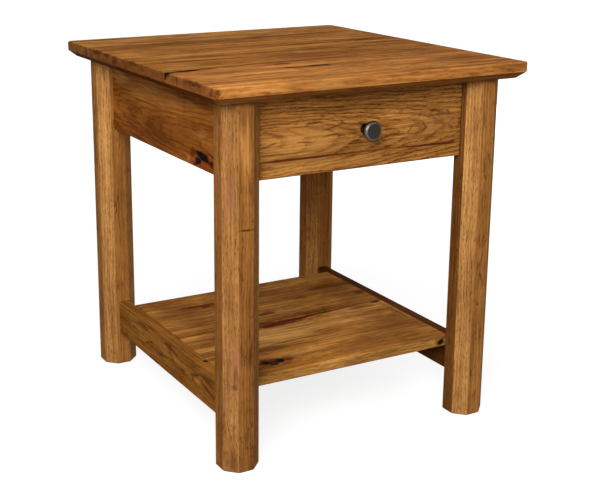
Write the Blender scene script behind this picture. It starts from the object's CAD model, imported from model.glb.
"""Rustic hickory end table: wood finishes, a turned knob, lamps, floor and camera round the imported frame."""
import math
from collections import namedtuple

import bmesh
import bpy
from mathutils import Euler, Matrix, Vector


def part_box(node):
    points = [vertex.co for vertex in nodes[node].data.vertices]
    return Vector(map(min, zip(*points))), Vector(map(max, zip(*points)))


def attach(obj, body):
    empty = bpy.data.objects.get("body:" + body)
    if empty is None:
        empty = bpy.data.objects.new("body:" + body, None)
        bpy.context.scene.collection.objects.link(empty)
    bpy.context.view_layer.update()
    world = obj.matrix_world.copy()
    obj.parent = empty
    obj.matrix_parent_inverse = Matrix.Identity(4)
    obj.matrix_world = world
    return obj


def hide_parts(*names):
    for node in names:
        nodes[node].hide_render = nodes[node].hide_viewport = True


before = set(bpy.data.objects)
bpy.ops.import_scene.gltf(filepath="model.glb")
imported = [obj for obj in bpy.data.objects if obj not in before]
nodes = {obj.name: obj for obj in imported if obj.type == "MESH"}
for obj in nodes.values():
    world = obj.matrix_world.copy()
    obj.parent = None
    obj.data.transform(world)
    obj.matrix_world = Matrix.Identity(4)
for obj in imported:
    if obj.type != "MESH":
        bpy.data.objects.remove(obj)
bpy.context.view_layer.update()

MM = 0.001

# Camera: the photograph's viewpoint, aimed a little off the table with a small lens shift
IMAGE_WIDTH = 600
SENSOR_WIDTH = 36.0
FOCAL_PIXELS = 1178.6
SHIFT_PIXELS = (45.0, -45.0)
CAMERA_TARGET = Vector((-55.8, 0.0, 343.5)) * MM
CAMERA_DISTANCE = 2061.6 * MM
CAMERA_TURN = 28.42
CAMERA_RISE = 15.05
CAMERA_ROLL = 0.08

# Lamps: turn is measured from the front (-Y) towards the left (-X), rise is above the floor;
# the back lamp only lights the far sides, and leaves no shine on the top and shelf
Lamp = namedtuple("Lamp", "name turn rise distance size level shine", defaults=(True,))
LAMPS = (
    Lamp("key_lamp", 40.0, 28.0, 3.0, 1.6, 0.96),
    Lamp("fill_lamp", -50.0, 42.0, 3.0, 1.6, 0.10),
    Lamp("top_lamp", 40.0, 78.0, 2.6, 1.6, 0.25),
    Lamp("back_lamp", -135.0, 5.0, 3.0, 1.6, 0.42, shine=False),
)
LAMP_TARGET = Vector((0.0, 0.0, 0.35))
SKY_LEVEL = 0.13

# Floor: it glows for the camera, a little less near the table, where lamplight and shadow fall on it
FLOOR_SIZE = 40.0
FLOOR_COLOUR = (0.30, 0.30, 0.30, 1.0)
FLOOR_GLOW_NEAR = 0.83
FLOOR_GLOW_FAR = 1.00
FLOOR_NEAR = 0.6
FLOOR_FAR = 2.2

# Wood colours, as sRGB values from 0 to 255
Stain = namedtuple("Stain", "light mid dark")
STAINS = {
    "top": Stain((208, 140, 70), (178, 116, 54), (122, 73, 31)),
    "leg": Stain((204, 142, 74), (176, 118, 58), (120, 74, 33)),
    "frame": Stain((198, 122, 48), (160, 93, 32), (104, 54, 16)),
    "front": Stain((228, 160, 84), (202, 138, 68), (136, 86, 40)),
    "shelf": Stain((218, 152, 76), (184, 122, 55), (122, 73, 28)),
    "drawer": Stain((222, 186, 136), (204, 162, 108), (168, 122, 74)),
    "inner": Stain((206, 164, 112), (184, 138, 88), (146, 102, 60)),
}

# Where each grain runs: which table axes are along the grain, across the face and through the board
AXES = {"X": "XYZ", "X_UPRIGHT": "XZY", "Y": "YZX", "Y_FLAT": "YXZ", "Z": "ZXY"}

# How a piece of wood is drawn: amounts of each feature, from 0 to about 1, the fineness of its pores
# and the width of its growth rings in metres
Figure = namedtuple("Figure", "bands streaks clouds lines fibres flecks ticks curls squiggles veins "
                    "size ring")
FIGURES = {
    "top": Figure(0.14, 0.34, 0.16, 0.10, 0.32, 0.60, 0.60, 0.12, 0.30, 0.60, 0.45, 0.0060),
    "leg": Figure(0.08, 0.18, 0.12, 0.14, 0.26, 0.24, 0.72, 0.20, 0.80, 0.12, 1.00, 0.0050),
    "frame": Figure(0.20, 0.16, 0.14, 0.22, 0.28, 0.22, 0.50, 0.12, 0.24, 0.06, 0.90, 0.0060),
    "front": Figure(0.14, 0.22, 0.10, 0.30, 0.42, 0.95, 0.80, 0.16, 0.45, 0.24, 1.00, 0.0046),
    "shelf": Figure(0.18, 0.28, 0.26, 0.12, 0.26, 0.60, 0.60, 0.14, 0.30, 0.34, 0.55, 0.0055),
    "drawer": Figure(0.16, 0.14, 0.12, 0.14, 0.12, 0.10, 0.25, 0.08, 0.00, 0.10, 1.00, 0.0040),
    "inner": Figure(0.14, 0.16, 0.12, 0.12, 0.12, 0.12, 0.25, 0.08, 0.00, 0.10, 1.00, 0.0040),
}

# Fineness of the patterns in wood: cells per metre along the grain, across the face and through it
WAVE_CELLS = (4.0, 11.0, 11.0)
JITTER_CELLS = (22.0, 110.0, 110.0)
STREAK_CELLS = (2.2, 46.0, 46.0)
CLOUD_CELLS = (6.0, 13.0, 13.0)
FIBRE_CELLS = (9.0, 300.0, 300.0)
CURL_CELLS = (42.0, 22.0, 22.0)
PATCH_CELLS = (9.0, 30.0, 30.0)
FLECK_CELLS = (46.0, 380.0, 380.0)
TICK_CELLS = (105.0, 700.0, 700.0)
SQUIGGLE_CELLS = (17.0, 88.0, 88.0)
PART_CELLS = (21.0, 60.0, 60.0)
VEIN_CELLS = (18.0, 210.0, 210.0)
FRAYED_CELLS = (15.0, 150.0, 150.0)
BREAK_CELLS = (20.0, 300.0, 300.0)
LUMP_CELLS = (100.0, 100.0, 100.0)
# Bands of colour follow the rings, so they have cells per metre of radius alone
BAND_CELLS = 48.0
# Shifts that keep two patterns from lying along the pores
SQUIGGLE_SHIFT = (7.3, 2.1, 0.0)
VEIN_SHIFT = (3.1, 5.7, 0.0)

# Growth rings: how far waves and fine jitter move them, in metres, and where in a ring dark wood lies
RING_BEND = 0.030
RING_JITTER = 0.0050
EARLY_END = 0.50
LATE_START = 0.88

# Dark lines take more green and blue from the colour than red
GREEN_POWER = 1.2
BLUE_POWER = 1.45
PORE_SHADE = (0.24, 0.19, 0.16, 1.0)
VEIN_SHADE = (0.50, 0.42, 0.34, 1.0)

# Relief, as shares of a pore's depth, and the varnished surface
FIBRE_DEPTH = 0.25
RING_DEPTH = 0.12
CRACK_DEPTH = 3.0
PORE_DEPTH = 0.2 * MM
RELIEF_STRENGTH = 0.25
SMOOTH_WOOD = 0.42
OPEN_WOOD = 0.60
VARNISH_COAT = 0.03
VARNISH_ROUGHNESS = 0.30

# A piece of wood with the next seed is cut that many metres further on, and has other bands
SEED_STEPS = (3.17, 1.31, 0.73)
BAND_STEP = 0.37

# End grain: its tint, and how much of the figure gives way to the middle colour
END_TINT = (1.0, 0.85, 0.78)
END_EVENNESS = 0.4

# Legs are glued up of staves: the wood changes from facet to facet, and those on the corners are
# lighter and less orange, with all the pores and no squiggles
CORNER_STAVE = (1.27, 1.41, 1.64, 1.0)
FLAT_STAVE = (1.00, 0.98, 0.94, 1.0)
FLAT_STAVE_PORES = 0.5
STAVE_STEPS = (1.37, 0.61, 0.0)
STAVE_RING_SHIFT = (0.0, 0.016, 0.0)
LEFT_FACET = -3.0

# Shades of single places: a dark stave, the shelf's long edges and the underside of the top
HEARTWOOD = (0.52, 0.47, 0.42, 1.0)
SHELF_EDGE = (1.02, 1.18, 1.45, 1.0)
UNDERSIDE = (0.55, 0.50, 0.46, 1.0)

# Kinds of natural marks, the lowest layer first: the sRGB colour, how the outline bends, the share of
# the size that is solid, and whether fibres break the mark up
Kind = namedtuple("Kind", "colour outline solid broken")
KINDS = {
    "haze": Kind((122, 75, 33), "frayed", 0.15, False),
    "glow": Kind((252, 188, 106), "frayed", 0.15, True),
    "blush": Kind((150, 92, 58), "frayed", 0.15, True),
    "gold": Kind((216, 152, 80), "frayed", 0.15, True),
    "ember": Kind((140, 62, 20), "lumpy", 0.40, False),
    "halo": Kind((74, 30, 12), "lumpy", 0.40, True),
    "rust": Kind((92, 42, 18), "frayed", 0.15, True),
    "streak": Kind((86, 48, 20), "frayed", 0.15, True),
    "bar": Kind((74, 40, 18), "lumpy", 0.55, True),
    "scar": Kind((88, 34, 14), "rough", 0.55, False),
    "knot": Kind((20, 12, 10), "lumpy", 0.55, False),
    "crack": Kind((24, 13, 8), "rough", 0.55, False),
}
LAYERS = tuple(KINDS)
# How far outlines bend, and where a mark ends, as shares of its half size
FRAYED_REACH = (1.7, 1.7, 1.7)
ROUGH_SHARE = (0.7, 0.7, 0.7)
LUMP_REACH = (1.35, 1.35, 1.35)
MARK_RIM = 1.05
# Rings swell round a halo: by how many metres, and from and to which share of its half size
HALO_SWELL = 0.008
SWELL_FROM = 0.2
SWELL_TO = 2.4


def linear(colour):
    """An sRGB colour of 0 to 255 as the linear RGBA that a colour socket takes."""
    shares = [channel / 255 for channel in colour]
    return tuple(s / 12.92 if s <= 0.04045 else ((s + 0.055) / 1.055) ** 2.4 for s in shares) + (1.0,)


class Nodes:
    """A short way to add and wire the nodes of one node tree."""

    def __init__(self, tree):
        self.tree = tree
        tree.nodes.clear()

    def feed(self, socket, value):
        if isinstance(value, bpy.types.NodeSocket):
            self.tree.links.new(value, socket)
        else:
            socket.default_value = value

    def add(self, kind, inputs=None, **settings):
        node = self.tree.nodes.new(kind)
        for name, value in settings.items():
            setattr(node, name, value)
        for name, value in (inputs or {}).items():
            self.feed(node.inputs[name], value)
        return node

    def math(self, operation, *values, clamp=False):
        node = self.add("ShaderNodeMath", operation=operation, use_clamp=clamp)
        for socket, value in zip(node.inputs, values):
            self.feed(socket, value)
        return node.outputs[0]

    def vector(self, operation, *values):
        node = self.add("ShaderNodeVectorMath", operation=operation)
        for socket, value in zip(node.inputs, values):
            self.feed(socket, value)
        return node.outputs["Value" if operation == "LENGTH" else "Vector"]

    def split(self, vector):
        return self.add("ShaderNodeSeparateXYZ", {"Vector": vector}).outputs

    def ramp(self, value, low, high, start=0.0, end=1.0, smooth=False):
        """Goes from start to end while the value goes from low to high, and stays there outside."""
        kind = "SMOOTHSTEP" if smooth else "LINEAR"
        node = self.add("ShaderNodeMapRange", interpolation_type=kind)
        for socket, item in zip(node.inputs, (value, low, high, start, end)):
            self.feed(socket, item)
        return node.outputs[0]

    def mix(self, factor, first, second, mode="MIX"):
        """Mixes colours; the sockets go by number, because their names repeat."""
        node = self.add("ShaderNodeMix", data_type="RGBA", blend_type=mode)
        for index, value in ((0, factor), (6, first), (7, second)):
            self.feed(node.inputs[index], value)
        return node.outputs[2]

    def noise(self, vector, cells, detail=2.0, rough=0.5):
        """Noise with so many cells per metre on each axis; it lies mostly between 0.3 and 0.7."""
        inputs = {"Vector": self.vector("MULTIPLY", vector, cells), "Scale": 1.0, "Detail": detail,
                  "Roughness": rough}
        return self.add("ShaderNodeTexNoise", inputs).outputs["Fac"]

    def line_noise(self, position, cells, detail=2.0, rough=0.5):
        """The same noise along a line."""
        inputs = {"W": position, "Scale": cells, "Detail": detail, "Roughness": rough}
        return self.add("ShaderNodeTexNoise", inputs, noise_dimensions="1D").outputs["Fac"]

    def sway(self, vector, cells, reach, detail=3.0):
        """A vector that wanders round zero, mostly by less than a fifth of the reach on each axis."""
        inputs = {"Vector": self.vector("MULTIPLY", vector, cells), "Scale": 1.0, "Detail": detail}
        noise = self.add("ShaderNodeTexNoise", inputs).outputs["Color"]
        return self.vector("MULTIPLY", self.vector("SUBTRACT", noise, (0.5, 0.5, 0.5)), reach)


def new_material(name):
    material = bpy.data.materials.new(name)
    material.use_nodes = True
    return material, Nodes(material.node_tree)


def hickory_group():
    """Sawn wood in grain coordinates: X along the grain, Y across the board, Z through it, in metres."""
    tree = bpy.data.node_groups.new("sawn_hickory", "ShaderNodeTree")
    features = tuple(field.title() for field in Figure._fields)
    sockets = {"Vector": ("Grain", "Rings"), "Float": features + ("Swell", "Shift"),
               "Color": ("Light", "Mid", "Dark")}
    for kind, names in sockets.items():
        for name in names:
            tree.interface.new_socket(name, in_out="INPUT", socket_type="NodeSocket" + kind)
    for name, kind in (("Color", "Color"), ("Height", "Float"), ("Roughness", "Float")):
        tree.interface.new_socket(name, in_out="OUTPUT", socket_type="NodeSocket" + kind)
    kit = Nodes(tree)
    given = kit.add("NodeGroupInput").outputs
    grain = given["Grain"]

    # Growth rings: distance from the pith, bent by slow waves and swollen round knots
    bent = kit.vector("ADD", given["Rings"], kit.sway(grain, WAVE_CELLS, (0.0, RING_BEND, RING_BEND)))
    radius = kit.vector("LENGTH", kit.vector("MULTIPLY", bent, (0.0, 1.0, 1.0)))
    jitter = kit.math("SUBTRACT", kit.noise(grain, JITTER_CELLS, 3.0, 0.6), 0.5)
    radius = kit.math("ADD", radius, kit.math("MULTIPLY", jitter, RING_JITTER))
    radius = kit.math("ADD", radius, given["Swell"])
    phase = kit.math("FRACT", kit.math("DIVIDE", radius, given["Ring"]))
    early = kit.ramp(phase, 0.0, EARLY_END, 1.0, 0.0, smooth=True)
    late = kit.ramp(phase, LATE_START, 1.0, smooth=True)
    ring = kit.math("MAXIMUM", early, late)

    # Colour: bands of rings, long streaks and soft clouds swing between light, middle and dark
    shifted = kit.math("ADD", radius, given["Shift"])
    bands = kit.ramp(kit.line_noise(shifted, BAND_CELLS, 3.0, 0.6), 0.33, 0.67, -1.0, 1.0)
    streaks = kit.ramp(kit.noise(grain, STREAK_CELLS, 4.0, 0.6), 0.34, 0.66, -1.0, 1.0)
    clouds = kit.ramp(kit.noise(grain, CLOUD_CELLS, 3.0, 0.6), 0.34, 0.66, -1.0, 1.0)
    tone = kit.math("MULTIPLY_ADD", bands, given["Bands"], 0.5)
    tone = kit.math("MULTIPLY_ADD", streaks, given["Streaks"], tone)
    tone = kit.math("MULTIPLY_ADD", clouds, given["Clouds"], tone)
    colour = kit.mix(kit.ramp(tone, 0.0, 0.5), given["Dark"], given["Mid"])
    colour = kit.mix(kit.ramp(tone, 0.5, 1.0), colour, given["Light"])

    # Ring lines and fibres darken it; fine features are drawn at the figure's own size
    fine = kit.add("ShaderNodeVectorMath", {"Vector": grain, "Scale": given["Size"]},
                   operation="SCALE").outputs[0]
    fibres = kit.ramp(kit.noise(fine, FIBRE_CELLS, 4.0, 0.65), 0.38, 0.62)
    taken = kit.math("MULTIPLY", ring, given["Lines"])
    taken = kit.math("MULTIPLY_ADD", fibres, given["Fibres"], taken)
    kept = kit.math("SUBTRACT", 1.0, taken, clamp=True)
    shade = kit.add("ShaderNodeCombineColor", {
        "Red": kept, "Green": kit.math("POWER", kept, GREEN_POWER),
        "Blue": kit.math("POWER", kept, BLUE_POWER)}).outputs[0]
    colour = kit.mix(1.0, colour, shade, "MULTIPLY")

    # Curls: faint bands across the grain, where it dips in and out of the surface
    curl = kit.ramp(kit.noise(grain, CURL_CELLS, 3.0, 0.6), 0.34, 0.66, -0.5, 0.5)
    curl = kit.math("MULTIPLY_ADD", curl, given["Curls"], 1.0)
    colour = kit.mix(1.0, colour, curl, "MULTIPLY")

    # Flecks and ticks: open pores filled with stain, thick along the ring lines
    patch = kit.ramp(kit.noise(grain, PATCH_CELLS), 0.40, 0.60, 0.10, 1.0)
    gate = kit.math("MULTIPLY_ADD", ring, 0.80, 0.20)
    fleck = kit.ramp(kit.noise(fine, FLECK_CELLS, 2.0, 0.6), 0.53, 0.59)
    fleck = kit.math("MULTIPLY", kit.math("MULTIPLY", fleck, gate), patch)
    fleck = kit.math("MULTIPLY", fleck, given["Flecks"], clamp=True)
    tick = kit.ramp(kit.noise(fine, TICK_CELLS, 1.0), 0.52, 0.62)
    tick = kit.math("MULTIPLY", kit.math("MULTIPLY", tick, given["Ticks"]),
                    kit.math("MULTIPLY_ADD", ring, 0.5, 0.5), clamp=True)

    # Squiggles: broken dark lines that wander along the grain
    path = kit.noise(kit.vector("ADD", fine, SQUIGGLE_SHIFT), SQUIGGLE_CELLS, 2.0, 0.55)
    path = kit.math("ABSOLUTE", kit.math("SUBTRACT", path, 0.5))
    part = kit.ramp(kit.noise(fine, PART_CELLS), 0.50, 0.60)
    squiggle = kit.math("MULTIPLY", kit.ramp(path, 0.020, 0.006), part)
    squiggle = kit.math("MULTIPLY", squiggle, given["Squiggles"], clamp=True)
    pore = kit.math("MAXIMUM", kit.math("MAXIMUM", fleck, tick), squiggle)
    colour = kit.mix(pore, colour, PORE_SHADE, "MULTIPLY")

    # Veins: broad dark grain lines
    vein = kit.noise(kit.vector("ADD", fine, VEIN_SHIFT), VEIN_CELLS, 3.0, 0.6)
    vein = kit.math("MULTIPLY", kit.ramp(vein, 0.51, 0.57), given["Veins"])
    colour = kit.mix(vein, colour, VEIN_SHADE, "MULTIPLY")

    # Relief and roughness follow the fibres, pores and rings
    height = kit.math("MULTIPLY_ADD", fibres, -FIBRE_DEPTH, 1.0)
    height = kit.math("SUBTRACT", height, pore)
    height = kit.math("MULTIPLY_ADD", ring, -RING_DEPTH, height)
    rough = kit.ramp(kit.math("ADD", fibres, fleck), 0.0, 1.6, SMOOTH_WOOD, OPEN_WOOD)
    kit.add("NodeGroupOutput", {"Color": colour, "Height": height, "Roughness": rough})
    return tree


HICKORY = hickory_group()


def face(name, axis, end):
    """Where a CAD node ends on one axis, to the nearest millimetre: end 0 is low and 1 is high."""
    return round(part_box(name)[end]["XYZ".index(axis)] / MM)


TOP_LEVEL = face("top_board_1", "Z", 1)
TOP_END = face("top_board_1", "X", 0)
SHELF_LEVEL = face("shelf_board_1", "Z", 1)
DRAWER_FACE = face("drawer_front", "Y", 0)
SIDE_FACE = face("side_apron_left", "X", 0)
LEG_FACE = face("leg_front_left", "Y", 0)

# A mark is an ellipsoid in the table's frame: its centre and full size in millimetres, turn in degrees
Mark = namedtuple("Mark", "kind centre size strength turn", defaults=((0, 0, 0),))
MARK_DEPTH = 16
# Marks on the end of the top are shallower, and centred a little outside it
END_DEPTH = 10
END_OUTSIDE = 1


def on_top(kind, x, y, length, width, strength, turn=0.0):
    """A mark on the tabletop, long along X."""
    return Mark(kind, (x, y, TOP_LEVEL), (length, width, MARK_DEPTH), strength, (0, 0, turn))


def on_end(kind, y, z, length, height, strength):
    """A mark on the left end of the tabletop, long along Y."""
    return Mark(kind, (TOP_END - END_OUTSIDE, y, z), (END_DEPTH, length, height), strength)


def on_shelf(kind, x, y, length, width, strength, turn=0.0):
    """A mark on the lower shelf, long along X."""
    return Mark(kind, (x, y, SHELF_LEVEL), (length, width, MARK_DEPTH), strength, (0, 0, turn))


def on_drawer(kind, x, z, length, width, strength, turn=0.0):
    """A mark on the drawer front, long along X; turn lifts its right end."""
    return Mark(kind, (x, DRAWER_FACE, z), (length, MARK_DEPTH, width), strength, (0, -turn, 0))


def on_side(kind, y, z, length, width, strength, turn=0.0):
    """A mark on the outer face of a left side piece, long along Y; turn lifts its back end."""
    return Mark(kind, (SIDE_FACE, y, z), (MARK_DEPTH, length, width), strength, (turn, 0, 0))


def on_leg(kind, x, z, length, width, strength, turn=0.0):
    """A mark on the front face of a front leg, long along Z."""
    return Mark(kind, (x, LEG_FACE, z), (width, MARK_DEPTH, length), strength, (0, turn, 0))


def on_corner(kind, x, y, z, length, width, strength):
    """A mark on a cut-off corner of a leg, long along Z."""
    return Mark(kind, (x, y, z), (width, MARK_DEPTH, length), strength)


# The natural marks of this table, placed by hand where the photograph shows them
TOP_MARKS = (
    # Dark streaks and bars along the boards
    on_top("streak", 130, 186, 400, 46, 0.55), on_top("bar", 190, 196, 150, 14, 0.50),
    on_top("streak", -180, 186, 250, 38, 0.45), on_top("bar", -100, 184, 90, 9, 0.40),
    on_top("bar", 208, 70, 130, 22, 0.80), on_top("streak", 205, 70, 190, 40, 0.55),
    on_top("streak", 95, 66, 180, 26, 0.60), on_top("bar", 78, 66, 70, 11, 0.50),
    on_top("streak", -135, 66, 300, 34, 0.45), on_top("bar", -200, 70, 70, 10, 0.35),
    on_top("streak", 20, -3, 600, 30, 0.55), on_top("bar", -150, -6, 110, 10, 0.45),
    on_top("rust", 60, -66, 460, 54, 0.45, -3), on_top("streak", 205, -84, 190, 50, 0.62),
    on_top("bar", 170, -98, 110, 9, 0.40), on_top("streak", 80, -98, 220, 18, 0.55),
    on_top("streak", -40, -116, 330, 34, 0.62), on_top("streak", -190, 140, 190, 60, 0.36),
    on_top("streak", 20, 135, 160, 44, 0.25), on_top("rust", 215, -200, 190, 80, 0.40),
    on_top("streak", 90, -278, 130, 20, 0.60), on_top("bar", 100, -284, 60, 8, 0.40),
    on_top("streak", 235, -176, 60, 14, 0.45), on_top("halo", -70, 275, 46, 22, 0.60),
    on_top("streak", 130, 245, 60, 16, 0.45), on_top("streak", -60, 236, 240, 24, 0.30),
    on_top("streak", 215, -110, 150, 80, 0.35),
    # The two splits, and the knot and dark wood beside them
    on_top("crack", -250, -133, 72, 17, 1.0, 4), on_top("crack", -208, -127, 50, 10, 0.8),
    on_top("knot", -279, -138, 14, 20, 1.0), on_top("bar", -80, -134, 36, 16, 1.0),
    on_top("streak", -92, -135, 70, 18, 0.85), on_top("crack", -38, -174, 72, 15, 1.0, 1),
    on_top("crack", -84, -176, 46, 9, 0.9, -2), on_top("streak", -60, -180, 130, 18, 0.50),
    # The front edge
    Mark("gold", (-95, -300, 600), (130, 16, 40), 0.55),
    Mark("streak", (236, -300, 600), (70, 16, 30), 0.40),
    Mark("streak", (-262, -300, 600), (50, 14, 26), 0.25),
    # Light wood
    on_top("gold", 5, 214, 190, 44, 0.55), on_top("gold", -235, -75, 110, 60, 0.40),
    on_top("gold", 150, 104, 220, 20, 0.45), on_top("gold", -150, 24, 200, 22, 0.30),
    on_top("gold", 90, 34, 160, 20, 0.30), on_top("gold", -180, 256, 160, 50, 0.30),
    on_top("gold", -230, -210, 100, 60, 0.25),
    # The left end
    on_end("knot", -134, 605, 9, 13, 0.85), on_end("bar", 203, 602, 14, 24, 0.75),
    on_end("bar", 150, 608, 50, 10, 0.90), on_end("bar", 108, 608, 34, 10, 0.85),
    on_end("bar", 71, 603, 28, 24, 0.90), on_end("bar", -5, 608, 46, 11, 0.90),
    on_end("bar", -46, 603, 8, 8, 0.60), on_end("bar", -174, 604, 9, 16, 0.90),
    on_end("bar", -232, 608, 70, 10, 0.95), Mark("halo", (-279, -292, 603), (16, 34, 22), 0.70),
    on_end("streak", 20, 602, 60, 20, 0.40), on_end("streak", -200, 602, 50, 20, 0.35),
)
DRAWER_MARKS = (
    # Light and dark wood
    on_drawer("gold", -120, 508, 220, 80, 0.50), on_drawer("gold", -60, 470, 240, 26, 0.40),
    on_drawer("gold", 110, 515, 150, 50, 0.30), on_drawer("streak", 40, 572, 340, 20, 0.16),
    on_drawer("streak", 150, 518, 150, 120, 0.30), on_drawer("gold", -130, 480, 140, 30, 0.35),
    # The thin red line, which fades out under the knob
    on_drawer("scar", -110, 483.5, 230, 4.6, 0.95, -0.3),
    on_drawer("scar", 20, 483, 160, 3.6, 0.50, -0.3), on_drawer("scar", 132, 481, 160, 4.6, 0.95, -1),
    on_drawer("streak", -20, 481, 420, 9.0, 0.30),
    # Short dashes
    on_drawer("bar", -162, 525, 44, 5.0, 0.70, -14), on_drawer("bar", -168, 509, 38, 4.6, 0.65, 18),
    on_drawer("bar", -92, 536, 40, 4.4, 0.70, 4), on_drawer("scar", -55, 527, 46, 3.4, 0.70, 10),
    on_drawer("bar", -40, 534, 15, 5.6, 0.60, -40), on_drawer("bar", -60, 515, 40, 3.0, 0.70, 8),
    on_drawer("bar", -108, 508, 40, 3.0, 0.65, -6), on_drawer("bar", 58, 504, 62, 2.6, 0.75),
    on_drawer("bar", 86, 509, 18, 4.4, 0.70, 46), on_drawer("bar", 114, 516, 18, 5.4, 0.75, -50),
    on_drawer("bar", 114, 507, 20, 5.4, 0.75, 46), on_drawer("bar", 104, 530, 16, 4.8, 0.70, 46),
    on_drawer("bar", 128, 535, 20, 4.8, 0.65, 36), on_drawer("bar", 140, 530, 38, 5.0, 0.60, 6),
    on_drawer("bar", 160, 533, 14, 5.4, 0.65, -38), on_drawer("bar", 166, 508, 18, 5.4, 0.65, -36),
    on_drawer("bar", 168, 518, 16, 4.8, 0.60, 36), on_drawer("bar", 60, 527, 26, 3.0, 0.55, -10),
    on_drawer("streak", -26, 513, 10, 8.0, 0.5), on_drawer("bar", -150, 540, 46, 2.8, 0.6, -5),
    on_drawer("bar", 30, 556, 60, 2.4, 0.5, 2), on_drawer("bar", -130, 560, 80, 2.4, 0.5, 1),
    on_drawer("bar", 95, 494, 70, 2.4, 0.5, 2), on_drawer("bar", -110, 494, 90, 2.4, 0.5, 2),
)
APRON_MARKS = (
    # Light and dark wood
    on_side("gold", 30, 550, 420, 46, 0.36), on_side("gold", 190, 560, 110, 50, 0.50),
    on_side("rust", 60, 474, 360, 66, 0.65), on_side("rust", 150, 505, 150, 70, 0.42),
    on_side("rust", 0, 505, 300, 70, 0.25),
    # Streaks
    on_side("streak", 95, 529, 130, 4.0, 0.75), on_side("streak", 92, 511, 24, 11, 0.75, 14),
    on_side("streak", 186, 521, 34, 9, 0.60, -14), on_side("streak", -34, 497, 16, 26, 0.45),
    on_side("gold", -150, 512, 40, 30, 0.25),
    # The flame figure and its knot
    on_side("ember", -148, 472, 104, 46, 0.85), on_side("scar", -188, 468, 50, 9, 0.90, 12),
    on_side("scar", -184, 484, 44, 5, 0.85, 14), on_side("scar", -114, 480, 16, 22, 0.75, 30),
    on_side("scar", -126, 462, 40, 7, 0.85, -20), on_side("gold", -100, 466, 24, 16, 0.50),
    on_side("knot", -152, 478, 76, 16, 1.0, 10), on_side("knot", -134, 468, 30, 14, 0.95, -10),
)
STRETCHER_MARKS = (
    on_side("bar", -24, 113, 80, 7, 0.85, 9), on_side("streak", -20, 110, 120, 14, 0.40, 9),
    on_side("bar", -112, 101, 50, 6, 0.85, -18), on_side("gold", -124, 93, 34, 16, 0.45),
    on_side("bar", -104, 92, 13, 13, 0.75), on_side("bar", 104, 116, 44, 6, 0.80),
    on_side("bar", 76, 93, 50, 5.4, 0.80, -20), on_side("bar", 140, 99, 42, 5.4, 0.75, 10),
    on_side("bar", -66, 92, 30, 6, 0.75), on_side("scar", 56, 66, 60, 6, 0.85),
    on_side("bar", -160, 92, 70, 5, 0.75, 16), on_side("bar", 20, 88, 70, 5, 0.75, -8),
    on_side("bar", -150, 108, 60, 5, 0.70, 4), on_side("bar", 120, 80, 60, 5, 0.75, 6),
    Mark("knot", (-212, -122, SHELF_LEVEL), (12, 14, 14), 0.95),
    on_side("streak", 0, 122, 400, 8, 0.25),
)
SHELF_MARKS = (
    # The front knot
    on_shelf("halo", -113, -178, 88, 36, 0.70), on_shelf("knot", -131, -174, 20, 17, 0.95),
    on_shelf("knot", -103, -176, 20, 15, 1.0), on_shelf("knot", -121, -187, 24, 10, 0.95),
    on_shelf("knot", -114, -179, 66, 11, 0.80), on_shelf("ember", -108, -176, 110, 34, 0.55),
    # The long dark streak in the middle
    on_shelf("scar", 6, -22, 150, 11, 0.80, 2), on_shelf("scar", 104, -14, 150, 9, 0.80, 3),
    on_shelf("scar", -60, -14, 90, 8, 0.80), on_shelf("ember", -10, -24, 190, 44, 0.70),
    on_shelf("halo", -16, -28, 110, 26, 0.70, 2), on_shelf("halo", 60, -14, 120, 16, 0.40, 3),
    on_shelf("bar", -34, -33, 60, 12, 0.75, -4), on_shelf("bar", 24, -21, 70, 10, 0.80, 4),
    on_shelf("bar", 84, -17, 60, 7, 0.60), on_shelf("streak", 155, -24, 70, 18, 0.60),
    # Knots and scars behind it
    on_shelf("knot", 196, -13, 26, 13, 0.85), on_shelf("scar", -15, 27, 46, 14, 0.80),
    on_shelf("scar", -112, 122, 90, 12, 0.80), on_shelf("ember", -110, 117, 110, 34, 0.60),
    on_shelf("knot", -99, 112, 30, 9, 0.70), on_shelf("knot", -84, 124, 16, 8, 0.60),
    on_shelf("knot", -127, 124, 14, 8, 0.50), on_shelf("streak", 158, 106, 110, 18, 0.60),
    on_shelf("halo", 196, 47, 20, 20, 0.60), on_shelf("streak", 60, 80, 200, 60, 0.20),
    # Light and dark wood
    on_shelf("haze", 165, 70, 120, 130, 0.55), on_shelf("glow", -55, -78, 230, 100, 1.00),
    on_shelf("glow", -60, -160, 150, 40, 0.45), on_shelf("glow", 70, -70, 200, 40, 0.30),
    on_shelf("streak", 60, -168, 130, 60, 0.40), on_shelf("gold", 60, -66, 220, 34, 0.45),
    on_shelf("streak", -10, -68, 90, 6, 0.40),
    # The thin line and light strip along the right edge
    on_shelf("scar", 201, -20, 400, 3.6, 0.55, 90), on_shelf("gold", 206, -20, 400, 6, 0.25, 90),
    # Streaks and darker wood
    on_shelf("streak", 40, -178, 120, 5, 0.45), on_shelf("streak", -30, -176, 60, 5, 0.40, -16),
    on_shelf("streak", -80, -124, 40, 12, 0.40), on_shelf("haze", 165, -115, 170, 280, 0.80),
    on_shelf("haze", 105, -180, 220, 90, 0.55), on_shelf("haze", -150, 110, 140, 200, 0.65),
    on_shelf("haze", -158, 48, 110, 90, 0.45), on_shelf("streak", -150, 130, 120, 90, 0.35),
    on_shelf("gold", 150, 165, 110, 60, 0.45),
    # The knot in the front edge
    Mark("knot", (196, -216, 117), (16, 10, 15), 0.95),
    Mark("halo", (196, -216, 117), (34, 12, 30), 0.7),
)
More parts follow.
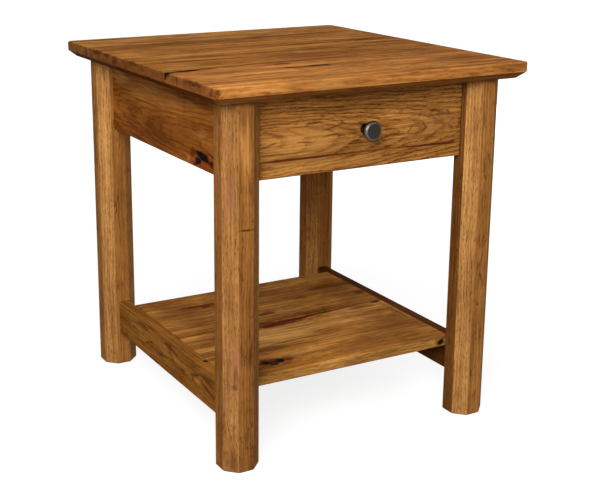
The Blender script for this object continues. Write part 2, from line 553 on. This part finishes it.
LEG_MARKS = {
    "leg_front_left": (
        # The front face
        on_leg("gold", -223, 505, 120, 30, 0.70), on_leg("streak", -214, 452, 60, 7, 0.60, -12),
        on_leg("bar", -220, 392, 3.6, 40, 0.95), on_leg("streak", -226, 425, 30, 8, 0.35),
        on_leg("streak", -213, 205, 80, 7, 0.85, 6), on_leg("streak", -216, 228, 30, 5, 0.70),
        on_leg("streak", -222, 55, 60, 18, 0.45), on_leg("streak", -230, 455, 14, 5, 0.5),
        # The left front corner
        on_corner("rust", -243, -271, 270, 120, 20, 0.32),
        on_corner("rust", -243, -271, 455, 70, 16, 0.25),
        on_corner("halo", -243, -271, 22, 60, 30, 0.45),
        on_corner("rust", -246, -268, 180, 60, 6, 0.45),
        Mark("blush", (-245, -270, 440), (24, 24, 90), 0.80),
        Mark("blush", (-239, -276, 188), (18, 22, 110), 0.85),
        Mark("rust", (-238, -276, 166), (8, 12, 44), 0.60),
        Mark("halo", (-239, -276, 144), (10, 12, 14), 0.60),
        Mark("blush", (-249, -267, 110), (14, 16, 70), 0.60),
        Mark("blush", (-247, -268, 515), (14, 16, 60), 0.45), on_leg("streak", -230, 196, 60, 6, 0.80),
        on_leg("streak", -228, 150, 40, 5, 0.50),
    ),
    "leg_front_right": (
        on_leg("streak", 214, 520, 34, 6, 0.85), on_leg("streak", 221, 480, 36, 4, 0.5, 10),
        on_leg("streak", 218, 372, 84, 3.4, 0.80), on_leg("streak", 217, 271, 30, 9, 0.85, 24),
        on_leg("streak", 223, 252, 34, 5, 0.75, -14), on_leg("streak", 216, 322, 50, 4, 0.7),
        on_leg("streak", 226, 150, 80, 4, 0.75, -5), on_leg("streak", 213, 78, 22, 6, 0.90),
        on_leg("streak", 222, 38, 26, 9, 0.60, 30), on_leg("streak", 222, 560, 34, 7, 0.5),
        on_leg("streak", 218, 440, 40, 4, 0.6, -8),
    ),
    "leg_back_left": (
        on_corner("streak", -243, 226, 560, 34, 8, 0.5),
        on_corner("gold", -243, 226, 420, 200, 20, 0.3),
    ),
    "leg_back_right": (),
}


def touching(name, marks):
    """The marks that reach into a node."""
    low, high = (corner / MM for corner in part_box(name))
    return [mark for mark in marks
            if all(low[i] - mark.size[i] / 2 < mark.centre[i] < high[i] + mark.size[i] / 2
                   for i in range(3))]


def mark_shares(kit, marks, point, grain):
    """How much each mark shows at a point, lowest layer first, and how far the rings swell there."""
    frayed = kit.sway(grain, FRAYED_CELLS, FRAYED_REACH)
    outlines = {"frayed": frayed, "rough": kit.vector("MULTIPLY", frayed, ROUGH_SHARE),
                "lumpy": kit.sway(point, LUMP_CELLS, LUMP_REACH, detail=2.0)}
    broken = kit.ramp(kit.noise(grain, BREAK_CELLS), 0.36, 0.56, 0.45, 1.0)
    shares = []
    swell = 0.0
    for mark in sorted(marks, key=lambda mark: LAYERS.index(mark.kind)):
        kind = KINDS[mark.kind]
        cell = kit.add("ShaderNodeMapping", {
            "Vector": point, "Location": Vector(mark.centre) * MM,
            "Rotation": Euler([math.radians(angle) for angle in mark.turn]),
            "Scale": Vector(mark.size) * MM / 2}, vector_type="TEXTURE").outputs[0]
        far = kit.vector("LENGTH", kit.vector("ADD", cell, outlines[kind.outline]))
        share = kit.math("MULTIPLY", kit.ramp(far, MARK_RIM, kind.solid, smooth=True), mark.strength)
        if kind.broken:
            share = kit.math("MULTIPLY", share, broken)
        shares.append((mark, share))
        if mark.kind == "halo":
            around = kit.ramp(far, SWELL_FROM, SWELL_TO, HALO_SWELL, 0.0, smooth=True)
            swell = kit.math("ADD", swell, around)
    return shares, swell


def grain_space(kit, point, name, run, pith, lean, seed):
    """The grain coordinates of a CAD node, and its place in the log, measured from the pith."""
    low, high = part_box(name)
    spot = kit.split(kit.vector("SUBTRACT", point, tuple((low + high) / 2)))
    order = [spot[axis] for axis in AXES[run]]
    local = kit.add("ShaderNodeCombineXYZ", dict(zip("XYZ", order))).outputs[0]
    rings = kit.vector("MULTIPLY_ADD", order[0], (0.0, *lean), local)
    rings = kit.vector("SUBTRACT", rings, (0.0, *pith))
    grain = kit.vector("ADD", local, tuple(seed * step for step in SEED_STEPS))
    return grain, rings


def facet_of_leg(kit, normal):
    """A facet's number, 3 for a step to the right plus 1 for a step back, and 1 on a corner facet."""
    facet = kit.split(kit.vector("FLOOR", kit.vector("ADD", normal, (0.5, 0.5, 0.5))))
    number = kit.math("MULTIPLY_ADD", facet["X"], 3.0, facet["Y"])
    corner = kit.math("MULTIPLY", kit.math("ABSOLUTE", facet["X"]), kit.math("ABSOLUTE", facet["Y"]))
    return number, corner


def varnish(kit, colour, rough, height):
    """Finishes a wood material; the shine is all in a thin coat."""
    bump = kit.add("ShaderNodeBump", {"Strength": RELIEF_STRENGTH, "Distance": PORE_DEPTH,
                                      "Height": height})
    shader = kit.add("ShaderNodeBsdfPrincipled", {
        "Base Color": colour, "Roughness": rough, "Normal": bump.outputs[0],
        "Specular IOR Level": 0.0, "Coat Weight": VARNISH_COAT, "Coat Roughness": VARNISH_ROUGHNESS})
    kit.add("ShaderNodeOutputMaterial", {"Surface": shader.outputs[0]})


def dress(name, material):
    """Gives a CAD node its material in every slot."""
    for slot in nodes[name].material_slots:
        slot.material = material


def wood(name, stain, run, pith=(0.03, -0.05), lean=(0.02, 0.05), seed=0.0, end_shade=0.62,
         marks=(), staves=False, tint=(1.0, 1.0, 1.0), edge=None, under=None, heart=None, **changes):
    """Sawn wood for one CAD node, with its own place in the log.

    The pith lies that many metres off the board's middle, across and through it, and the lean
    moves it for each metre along the grain. The tint multiplies the stain; edge, under and heart
    are shades of the long edges, the underside and a leg's left stave.
    """
    figure = FIGURES[stain]._replace(**changes)
    material, kit = new_material("wood_" + name)
    place = kit.add("ShaderNodeTexCoord").outputs
    point = place["Object"]
    normal = place["Normal"]
    grain, rings = grain_space(kit, point, name, run, pith, lean, seed)
    amounts = figure._asdict()
    if staves:
        number, corner = facet_of_leg(kit, normal)
        for pores in ("flecks", "ticks"):
            full = amounts[pores]
            amounts[pores] = kit.ramp(corner, 0.0, 1.0, full * FLAT_STAVE_PORES, full)
        amounts["squiggles"] = kit.ramp(corner, 0.0, 1.0, figure.squiggles, 0.0)
        offset = kit.vector("MULTIPLY", number, STAVE_STEPS)
        grain = kit.vector("ADD", grain, offset)
        rings = kit.vector("MULTIPLY_ADD", offset, STAVE_RING_SHIFT, rings)

    shares, swell = mark_shares(kit, touching(name, marks), point, grain)
    light, mid, dark = (linear([channel * part for channel, part in zip(colour, tint)])
                        for colour in STAINS[stain])
    inputs = {feature.title(): amount for feature, amount in amounts.items()}
    inputs.update({"Grain": grain, "Rings": rings, "Swell": swell, "Shift": seed * BAND_STEP,
                   "Light": light, "Mid": mid, "Dark": dark})
    sawn = kit.add("ShaderNodeGroup", inputs, node_tree=HICKORY).outputs
    colour = sawn["Color"]
    height = sawn["Height"]

    # End grain first, then the marks over it, then the shades of single places
    facing = kit.split(kit.vector("ABSOLUTE", normal))
    end_grain = kit.ramp(facing[AXES[run][0]], 0.45, 0.62, smooth=True)
    end_tint = tuple(end_shade * part for part in END_TINT) + (1.0,)
    ends = kit.mix(1.0, kit.mix(END_EVENNESS, colour, mid), end_tint, "MULTIPLY")
    colour = kit.mix(end_grain, colour, ends)
    for mark, share in shares:
        colour = kit.mix(share, colour, linear(KINDS[mark.kind].colour))
        if mark.kind == "crack":
            height = kit.math("MULTIPLY_ADD", share, -CRACK_DEPTH, height)
    if staves:
        colour = kit.mix(1.0, colour, kit.mix(corner, FLAT_STAVE, CORNER_STAVE), "MULTIPLY")
    if heart:
        left = kit.math("ABSOLUTE", kit.math("SUBTRACT", number, LEFT_FACET))
        colour = kit.mix(kit.math("LESS_THAN", left, 0.5), colour, heart, "MULTIPLY")
    if edge:
        colour = kit.mix(kit.ramp(facing[AXES[run][1]], 0.80, 0.92), colour, edge, "MULTIPLY")
    if under:
        colour = kit.mix(kit.ramp(kit.split(normal)["Z"], -0.15, -0.35), colour, under, "MULTIPLY")
    varnish(kit, colour, sawn["Roughness"], height)
    dress(name, material)


WELD_GAP = 0.02 * MM
SHARP_ANGLE = math.radians(28)


def ease(name, width, segments=2):
    """Rounds a node's sharp edges a little, as sanding does."""
    node = nodes[name]
    weld = node.modifiers.new("join_faces", "WELD")
    weld.merge_threshold = WELD_GAP
    bevel = node.modifiers.new("eased_edges", "BEVEL")
    bevel.width = width
    bevel.segments = segments
    bevel.limit_method = "ANGLE"
    bevel.angle_limit = SHARP_ANGLE
    bevel.harden_normals = True
    bevel.use_clamp_overlap = True


# The boards of the top, front to back: place of the pith in metres, tint and amount of veins
Board = namedtuple("Board", "pith tint veins", defaults=(0.60,))
TOP_BOARDS = (
    Board((0.02, -0.060), (1.13, 1.14, 1.20), 0.30), Board((-0.05, -0.045), (1.05, 1.05, 1.02)),
    Board((0.03, -0.080), (1.06, 1.07, 1.04)), Board((-0.02, -0.055), (1.07, 1.09, 1.09)),
    Board((0.04, -0.070), (1.11, 1.17, 1.26)),
)
SHELF_TINTS = ((1.10, 1.11, 1.12), (1.19, 1.24, 1.36), (1.02, 1.03, 1.04), (1.04, 1.05, 1.06))
LEG_TINTS = {
    "leg_front_left": (0.93, 0.92, 0.94), "leg_front_right": (1.04, 1.06, 1.12),
    "leg_back_left": (1.04, 1.06, 1.12), "leg_back_right": (1.0, 1.0, 1.0),
}


def dress_top():
    for number, board in enumerate(TOP_BOARDS, 1):
        name = f"top_board_{number}"
        wood(name, "top", "X", pith=board.pith, lean=(0.02, 0.03), seed=number, end_shade=0.52,
             marks=TOP_MARKS, tint=board.tint, under=UNDERSIDE, veins=board.veins)
        ease(name, 0.3 * MM, segments=1)


def dress_legs():
    for seed, (name, tint) in enumerate(LEG_TINTS.items(), 11):
        wood(name, "leg", "Z", pith=(0.015 * (seed % 3), -0.045), lean=(0.01, 0.02), seed=seed,
             marks=LEG_MARKS[name], staves=True, tint=tint,
             heart=HEARTWOOD if name == "leg_front_right" else None)
        ease(name, 0.9 * MM, segments=3)


def dress_frame():
    wood("side_apron_left", "frame", "Y", pith=(-0.020, 0.030), lean=(0.0, -0.08), seed=21,
         marks=APRON_MARKS)
    wood("side_apron_right", "frame", "Y", pith=(0.02, -0.06), lean=(0.02, 0.07), seed=22)
    wood("back_apron", "frame", "X_UPRIGHT", pith=(0.01, -0.05), lean=(0.02, 0.07), seed=23)
    wood("front_rail_lower", "frame", "X", pith=(0.01, -0.05), seed=24)
    wood("front_rail_upper", "frame", "X", pith=(0.01, -0.05), seed=25)
    wood("stretcher_left", "frame", "Y", pith=(0.01, -0.05), seed=26, marks=STRETCHER_MARKS,
         tint=(1.02, 1.13, 1.28))
    wood("stretcher_right", "frame", "Y", pith=(0.03, -0.04), seed=27, tint=(0.62, 0.60, 0.66))
    for name in ("side_apron_left", "side_apron_right", "back_apron", "front_rail_lower",
                 "front_rail_upper", "stretcher_left", "stretcher_right"):
        ease(name, 0.6 * MM)


def dress_shelf():
    for number, tint in enumerate(SHELF_TINTS, 1):
        name = f"shelf_board_{number}"
        wood(name, "shelf", "X", pith=(0.02 * number - 0.05, -0.06), lean=(0.02, 0.04),
             seed=30 + number, marks=SHELF_MARKS, tint=tint, edge=SHELF_EDGE)
        ease(name, 0.3 * MM, segments=1)


def dress_drawer():
    wood("drawer_front", "front", "X_UPRIGHT", pith=(-0.007, 0.022), lean=(0.0, -0.09), seed=41,
         marks=DRAWER_MARKS)
    ease("drawer_front", 0.5 * MM)
    for seed, name in enumerate(("drawer_box_front", "drawer_back", "drawer_stop_block"), 42):
        wood(name, "drawer", "X_UPRIGHT", seed=seed)
        ease(name, 0.25 * MM, segments=1)
    for seed, name in enumerate(("drawer_side_left", "drawer_side_right"), 46):
        wood(name, "drawer", "Y", seed=seed)
        ease(name, 0.25 * MM, segments=1)
    wood("drawer_bottom", "drawer", "X", pith=(0.05, -0.20), lean=(0.0, 0.02), seed=48)


def dress_inner():
    names = ("drawer_runner_left", "drawer_runner_right", "drawer_kicker_left", "drawer_kicker_right",
             "drawer_guide_left", "drawer_guide_right", "shelf_cleat_left", "shelf_cleat_right")
    for seed, name in enumerate(names, 51):
        wood(name, "inner", "Y_FLAT", seed=seed)
        ease(name, 0.4 * MM, segments=1)
    wood("top_buttons", "inner", "Y_FLAT", seed=60)


# Metals: linear colours, and cells of noise per metre
STEEL_DARK = (0.38, 0.37, 0.34, 1.0)
STEEL_LIGHT = (0.66, 0.65, 0.60, 1.0)
STEEL_CELLS = (900.0, 900.0, 900.0)
BRONZE_DARK = (0.028, 0.023, 0.020, 1.0)
BRONZE_LIGHT = (0.044, 0.036, 0.031, 1.0)
BRONZE_WORN = (0.105, 0.095, 0.085, 1.0)
BRONZE_CELLS = (420.0, 420.0, 420.0)
CASTING_CELLS = (2600.0, 2600.0, 2600.0)
# The worn rim of the knob starts and is full at these shares of its radius and its projection
WORN_RADIUS = (0.73, 0.79)
WORN_PROJECTION = (0.78, 0.84)
WORN_ROUGHNESS = 0.14


def steel_finish():
    """Zinc-plated screws, a little cloudy."""
    material, kit = new_material("plated_steel")
    cloud = kit.noise(kit.add("ShaderNodeTexCoord").outputs["Object"], STEEL_CELLS, 3.0)
    shader = kit.add("ShaderNodeBsdfPrincipled", {
        "Base Color": kit.mix(cloud, STEEL_DARK, STEEL_LIGHT),
        "Roughness": kit.ramp(cloud, 0.3, 0.7, 0.28, 0.46), "Metallic": 1.0})
    kit.add("ShaderNodeOutputMaterial", {"Surface": shader.outputs[0]})
    for name in ("knob_screw", "drawer_front_screws", "drawer_stop_screws", "guide_screws",
                 "runner_screws", "top_screws", "button_screws", "cleat_screws", "shelf_screws"):
        dress(name, material)


def knob_finish(radius, projection):
    """Dark bronze, nearly black, worn bright on the rim round its face."""
    material, kit = new_material("dark_bronze")
    point = kit.add("ShaderNodeTexCoord").outputs["Object"]
    cloud = kit.noise(point, BRONZE_CELLS, 3.0)
    colour = kit.mix(cloud, BRONZE_DARK, BRONZE_LIGHT)
    rough = kit.ramp(cloud, 0.3, 0.7, 0.22, 0.32)
    reach = kit.vector("LENGTH", kit.vector("MULTIPLY", point, (1.0, 1.0, 0.0)))
    worn = kit.math("MULTIPLY", kit.ramp(reach, *(share * radius for share in WORN_RADIUS)),
                    kit.ramp(kit.split(point)["Z"], *(share * projection for share in WORN_PROJECTION)))
    colour = kit.mix(worn, colour, BRONZE_WORN)
    rough = kit.math("ADD", rough, kit.math("MULTIPLY", worn, WORN_ROUGHNESS))
    bump = kit.add("ShaderNodeBump", {"Strength": 0.10, "Distance": 0.05 * MM,
                                      "Height": kit.noise(point, CASTING_CELLS)})
    shader = kit.add("ShaderNodeBsdfPrincipled", {
        "Base Color": colour, "Roughness": rough, "Normal": bump.outputs[0], "Metallic": 1.0})
    kit.add("ShaderNodeOutputMaterial", {"Surface": shader.outputs[0]})
    return material


def new_object(name, data):
    """A mesh, lamp or camera as an object in the scene."""
    item = bpy.data.objects.new(name, data)
    bpy.context.scene.collection.objects.link(item)
    return item


# Knob outline: shares of its radius and of its projection from the drawer front, foot to face
KNOB_CURVE_SHARES = (
    (0.00, 0.000), (0.500, 0.000), (0.523, 0.012), (0.523, 0.090), (0.505, 0.118), (0.440, 0.160),
    (0.398, 0.220), (0.382, 0.300), (0.382, 0.400), (0.400, 0.480), (0.460, 0.560), (0.600, 0.645),
    (0.800, 0.710), (0.940, 0.752), (0.985, 0.775), (0.998, 0.798), (0.998, 0.822), (0.975, 0.868),
    (0.930, 0.912), (0.870, 0.950), (0.800, 0.982), (0.765, 0.996), (0.740, 1.000), (0.400, 1.000),
    (0.000, 1.000),
)
KNOB_SIDES = 96
KNOB_MERGE_GAP = 0.005 * MM


def make_knob():
    """A turned mushroom knob with a flat face, in place of the faceted one."""
    low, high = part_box("drawer_knob")
    radius = (high.x - low.x) / 2
    projection = high.y - low.y
    mesh = bpy.data.meshes.new("turned_knob")
    build = bmesh.new()
    spine = [build.verts.new((share * radius, 0.0, depth * projection))
             for share, depth in KNOB_CURVE_SHARES]
    edges = [build.edges.new(pair) for pair in zip(spine, spine[1:])]
    bmesh.ops.spin(build, geom=spine + edges, cent=(0, 0, 0), axis=(0, 0, 1), angle=math.tau,
                   steps=KNOB_SIDES)
    bmesh.ops.remove_doubles(build, verts=build.verts, dist=KNOB_MERGE_GAP)
    bmesh.ops.recalc_face_normals(build, faces=build.faces)
    for facet in build.faces:
        facet.smooth = True
    build.to_mesh(mesh)
    build.free()
    knob = new_object("turned_knob", mesh)
    knob.rotation_euler = (math.radians(90), 0, 0)
    knob.location = ((low.x + high.x) / 2, high.y, (low.z + high.z) / 2)
    mesh.materials.append(knob_finish(radius, projection))
    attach(knob, "drawer")
    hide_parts("drawer_knob")


def seen_directly(kit):
    """1 to the camera and in reflections, and 0 for the light that falls on the table."""
    ray = kit.add("ShaderNodeLightPath").outputs
    return kit.math("MAXIMUM", ray["Is Camera Ray"],
                    kit.math("MAXIMUM", ray["Is Glossy Ray"], ray["Is Transmission Ray"]))


def make_floor():
    """A pale floor that shows white to the camera and keeps the table's shadow."""
    mesh = bpy.data.meshes.new("floor")
    build = bmesh.new()
    bmesh.ops.create_grid(build, x_segments=1, y_segments=1, size=FLOOR_SIZE / 2)
    build.to_mesh(mesh)
    build.free()
    floor = new_object("floor", mesh)
    material, kit = new_material("pale_floor")
    matt = kit.add("ShaderNodeBsdfDiffuse", {"Color": FLOOR_COLOUR})
    away = kit.vector("LENGTH", kit.add("ShaderNodeTexCoord").outputs["Object"])
    level = kit.ramp(away, FLOOR_NEAR, FLOOR_FAR, FLOOR_GLOW_NEAR, FLOOR_GLOW_FAR)
    glow = kit.add("ShaderNodeEmission", {"Strength": kit.math("MULTIPLY", seen_directly(kit), level)})
    both = kit.add("ShaderNodeAddShader", {0: matt.outputs[0], 1: glow.outputs[0]})
    kit.add("ShaderNodeOutputMaterial", {"Surface": both.outputs[0]})
    mesh.materials.append(material)


def make_sky():
    """White all round to the camera and in reflections, and a soft plain light on the table."""
    world = bpy.data.worlds.new("studio")
    bpy.context.scene.world = world
    world.use_nodes = True
    kit = Nodes(world.node_tree)
    level = kit.ramp(seen_directly(kit), 0.0, 1.0, SKY_LEVEL, 1.0)
    sky = kit.add("ShaderNodeBackground", {"Color": (1.0, 1.0, 1.0, 1.0), "Strength": level})
    kit.add("ShaderNodeOutputWorld", {"Surface": sky.outputs[0]})


def outward(turn, rise):
    """The way out from the table: degrees from the front (-Y) to the left (-X), and up."""
    turn = math.radians(turn)
    rise = math.radians(rise)
    return Vector((-math.sin(turn) * math.cos(rise), -math.cos(turn) * math.cos(rise), math.sin(rise)))


def make_lamps():
    """Square soft boxes; a level of 1 lights a facing surface at its written colour."""
    for lamp in LAMPS:
        data = bpy.data.lights.new(lamp.name, "AREA")
        data.shape = "SQUARE"
        data.size = lamp.size
        data.energy = lamp.level * math.pi ** 2 * lamp.distance ** 2
        holder = new_object(lamp.name, data)
        holder.visible_glossy = lamp.shine
        way = outward(lamp.turn, lamp.rise)
        holder.location = LAMP_TARGET + way * lamp.distance
        holder.rotation_euler = (-way).to_track_quat("-Z", "Y").to_euler()


def make_camera():
    data = bpy.data.cameras.new("camera")
    camera = new_object("camera", data)
    way = outward(CAMERA_TURN, CAMERA_RISE)
    camera.location = CAMERA_TARGET + way * CAMERA_DISTANCE
    roll = Euler((0, 0, math.radians(CAMERA_ROLL))).to_quaternion()
    camera.rotation_euler = ((-way).to_track_quat("-Z", "Y") @ roll).to_euler()
    data.sensor_width = SENSOR_WIDTH
    data.lens = FOCAL_PIXELS * SENSOR_WIDTH / IMAGE_WIDTH
    data.shift_x = SHIFT_PIXELS[0] / IMAGE_WIDTH
    data.shift_y = SHIFT_PIXELS[1] / IMAGE_WIDTH
    bpy.context.scene.camera = camera


dress_top()
dress_legs()
dress_frame()
dress_shelf()
dress_drawer()
dress_inner()
steel_finish()
make_knob()
make_floor()
make_sky()
make_lamps()
make_camera()
bpy.context.scene.view_settings.view_transform = "Standard"
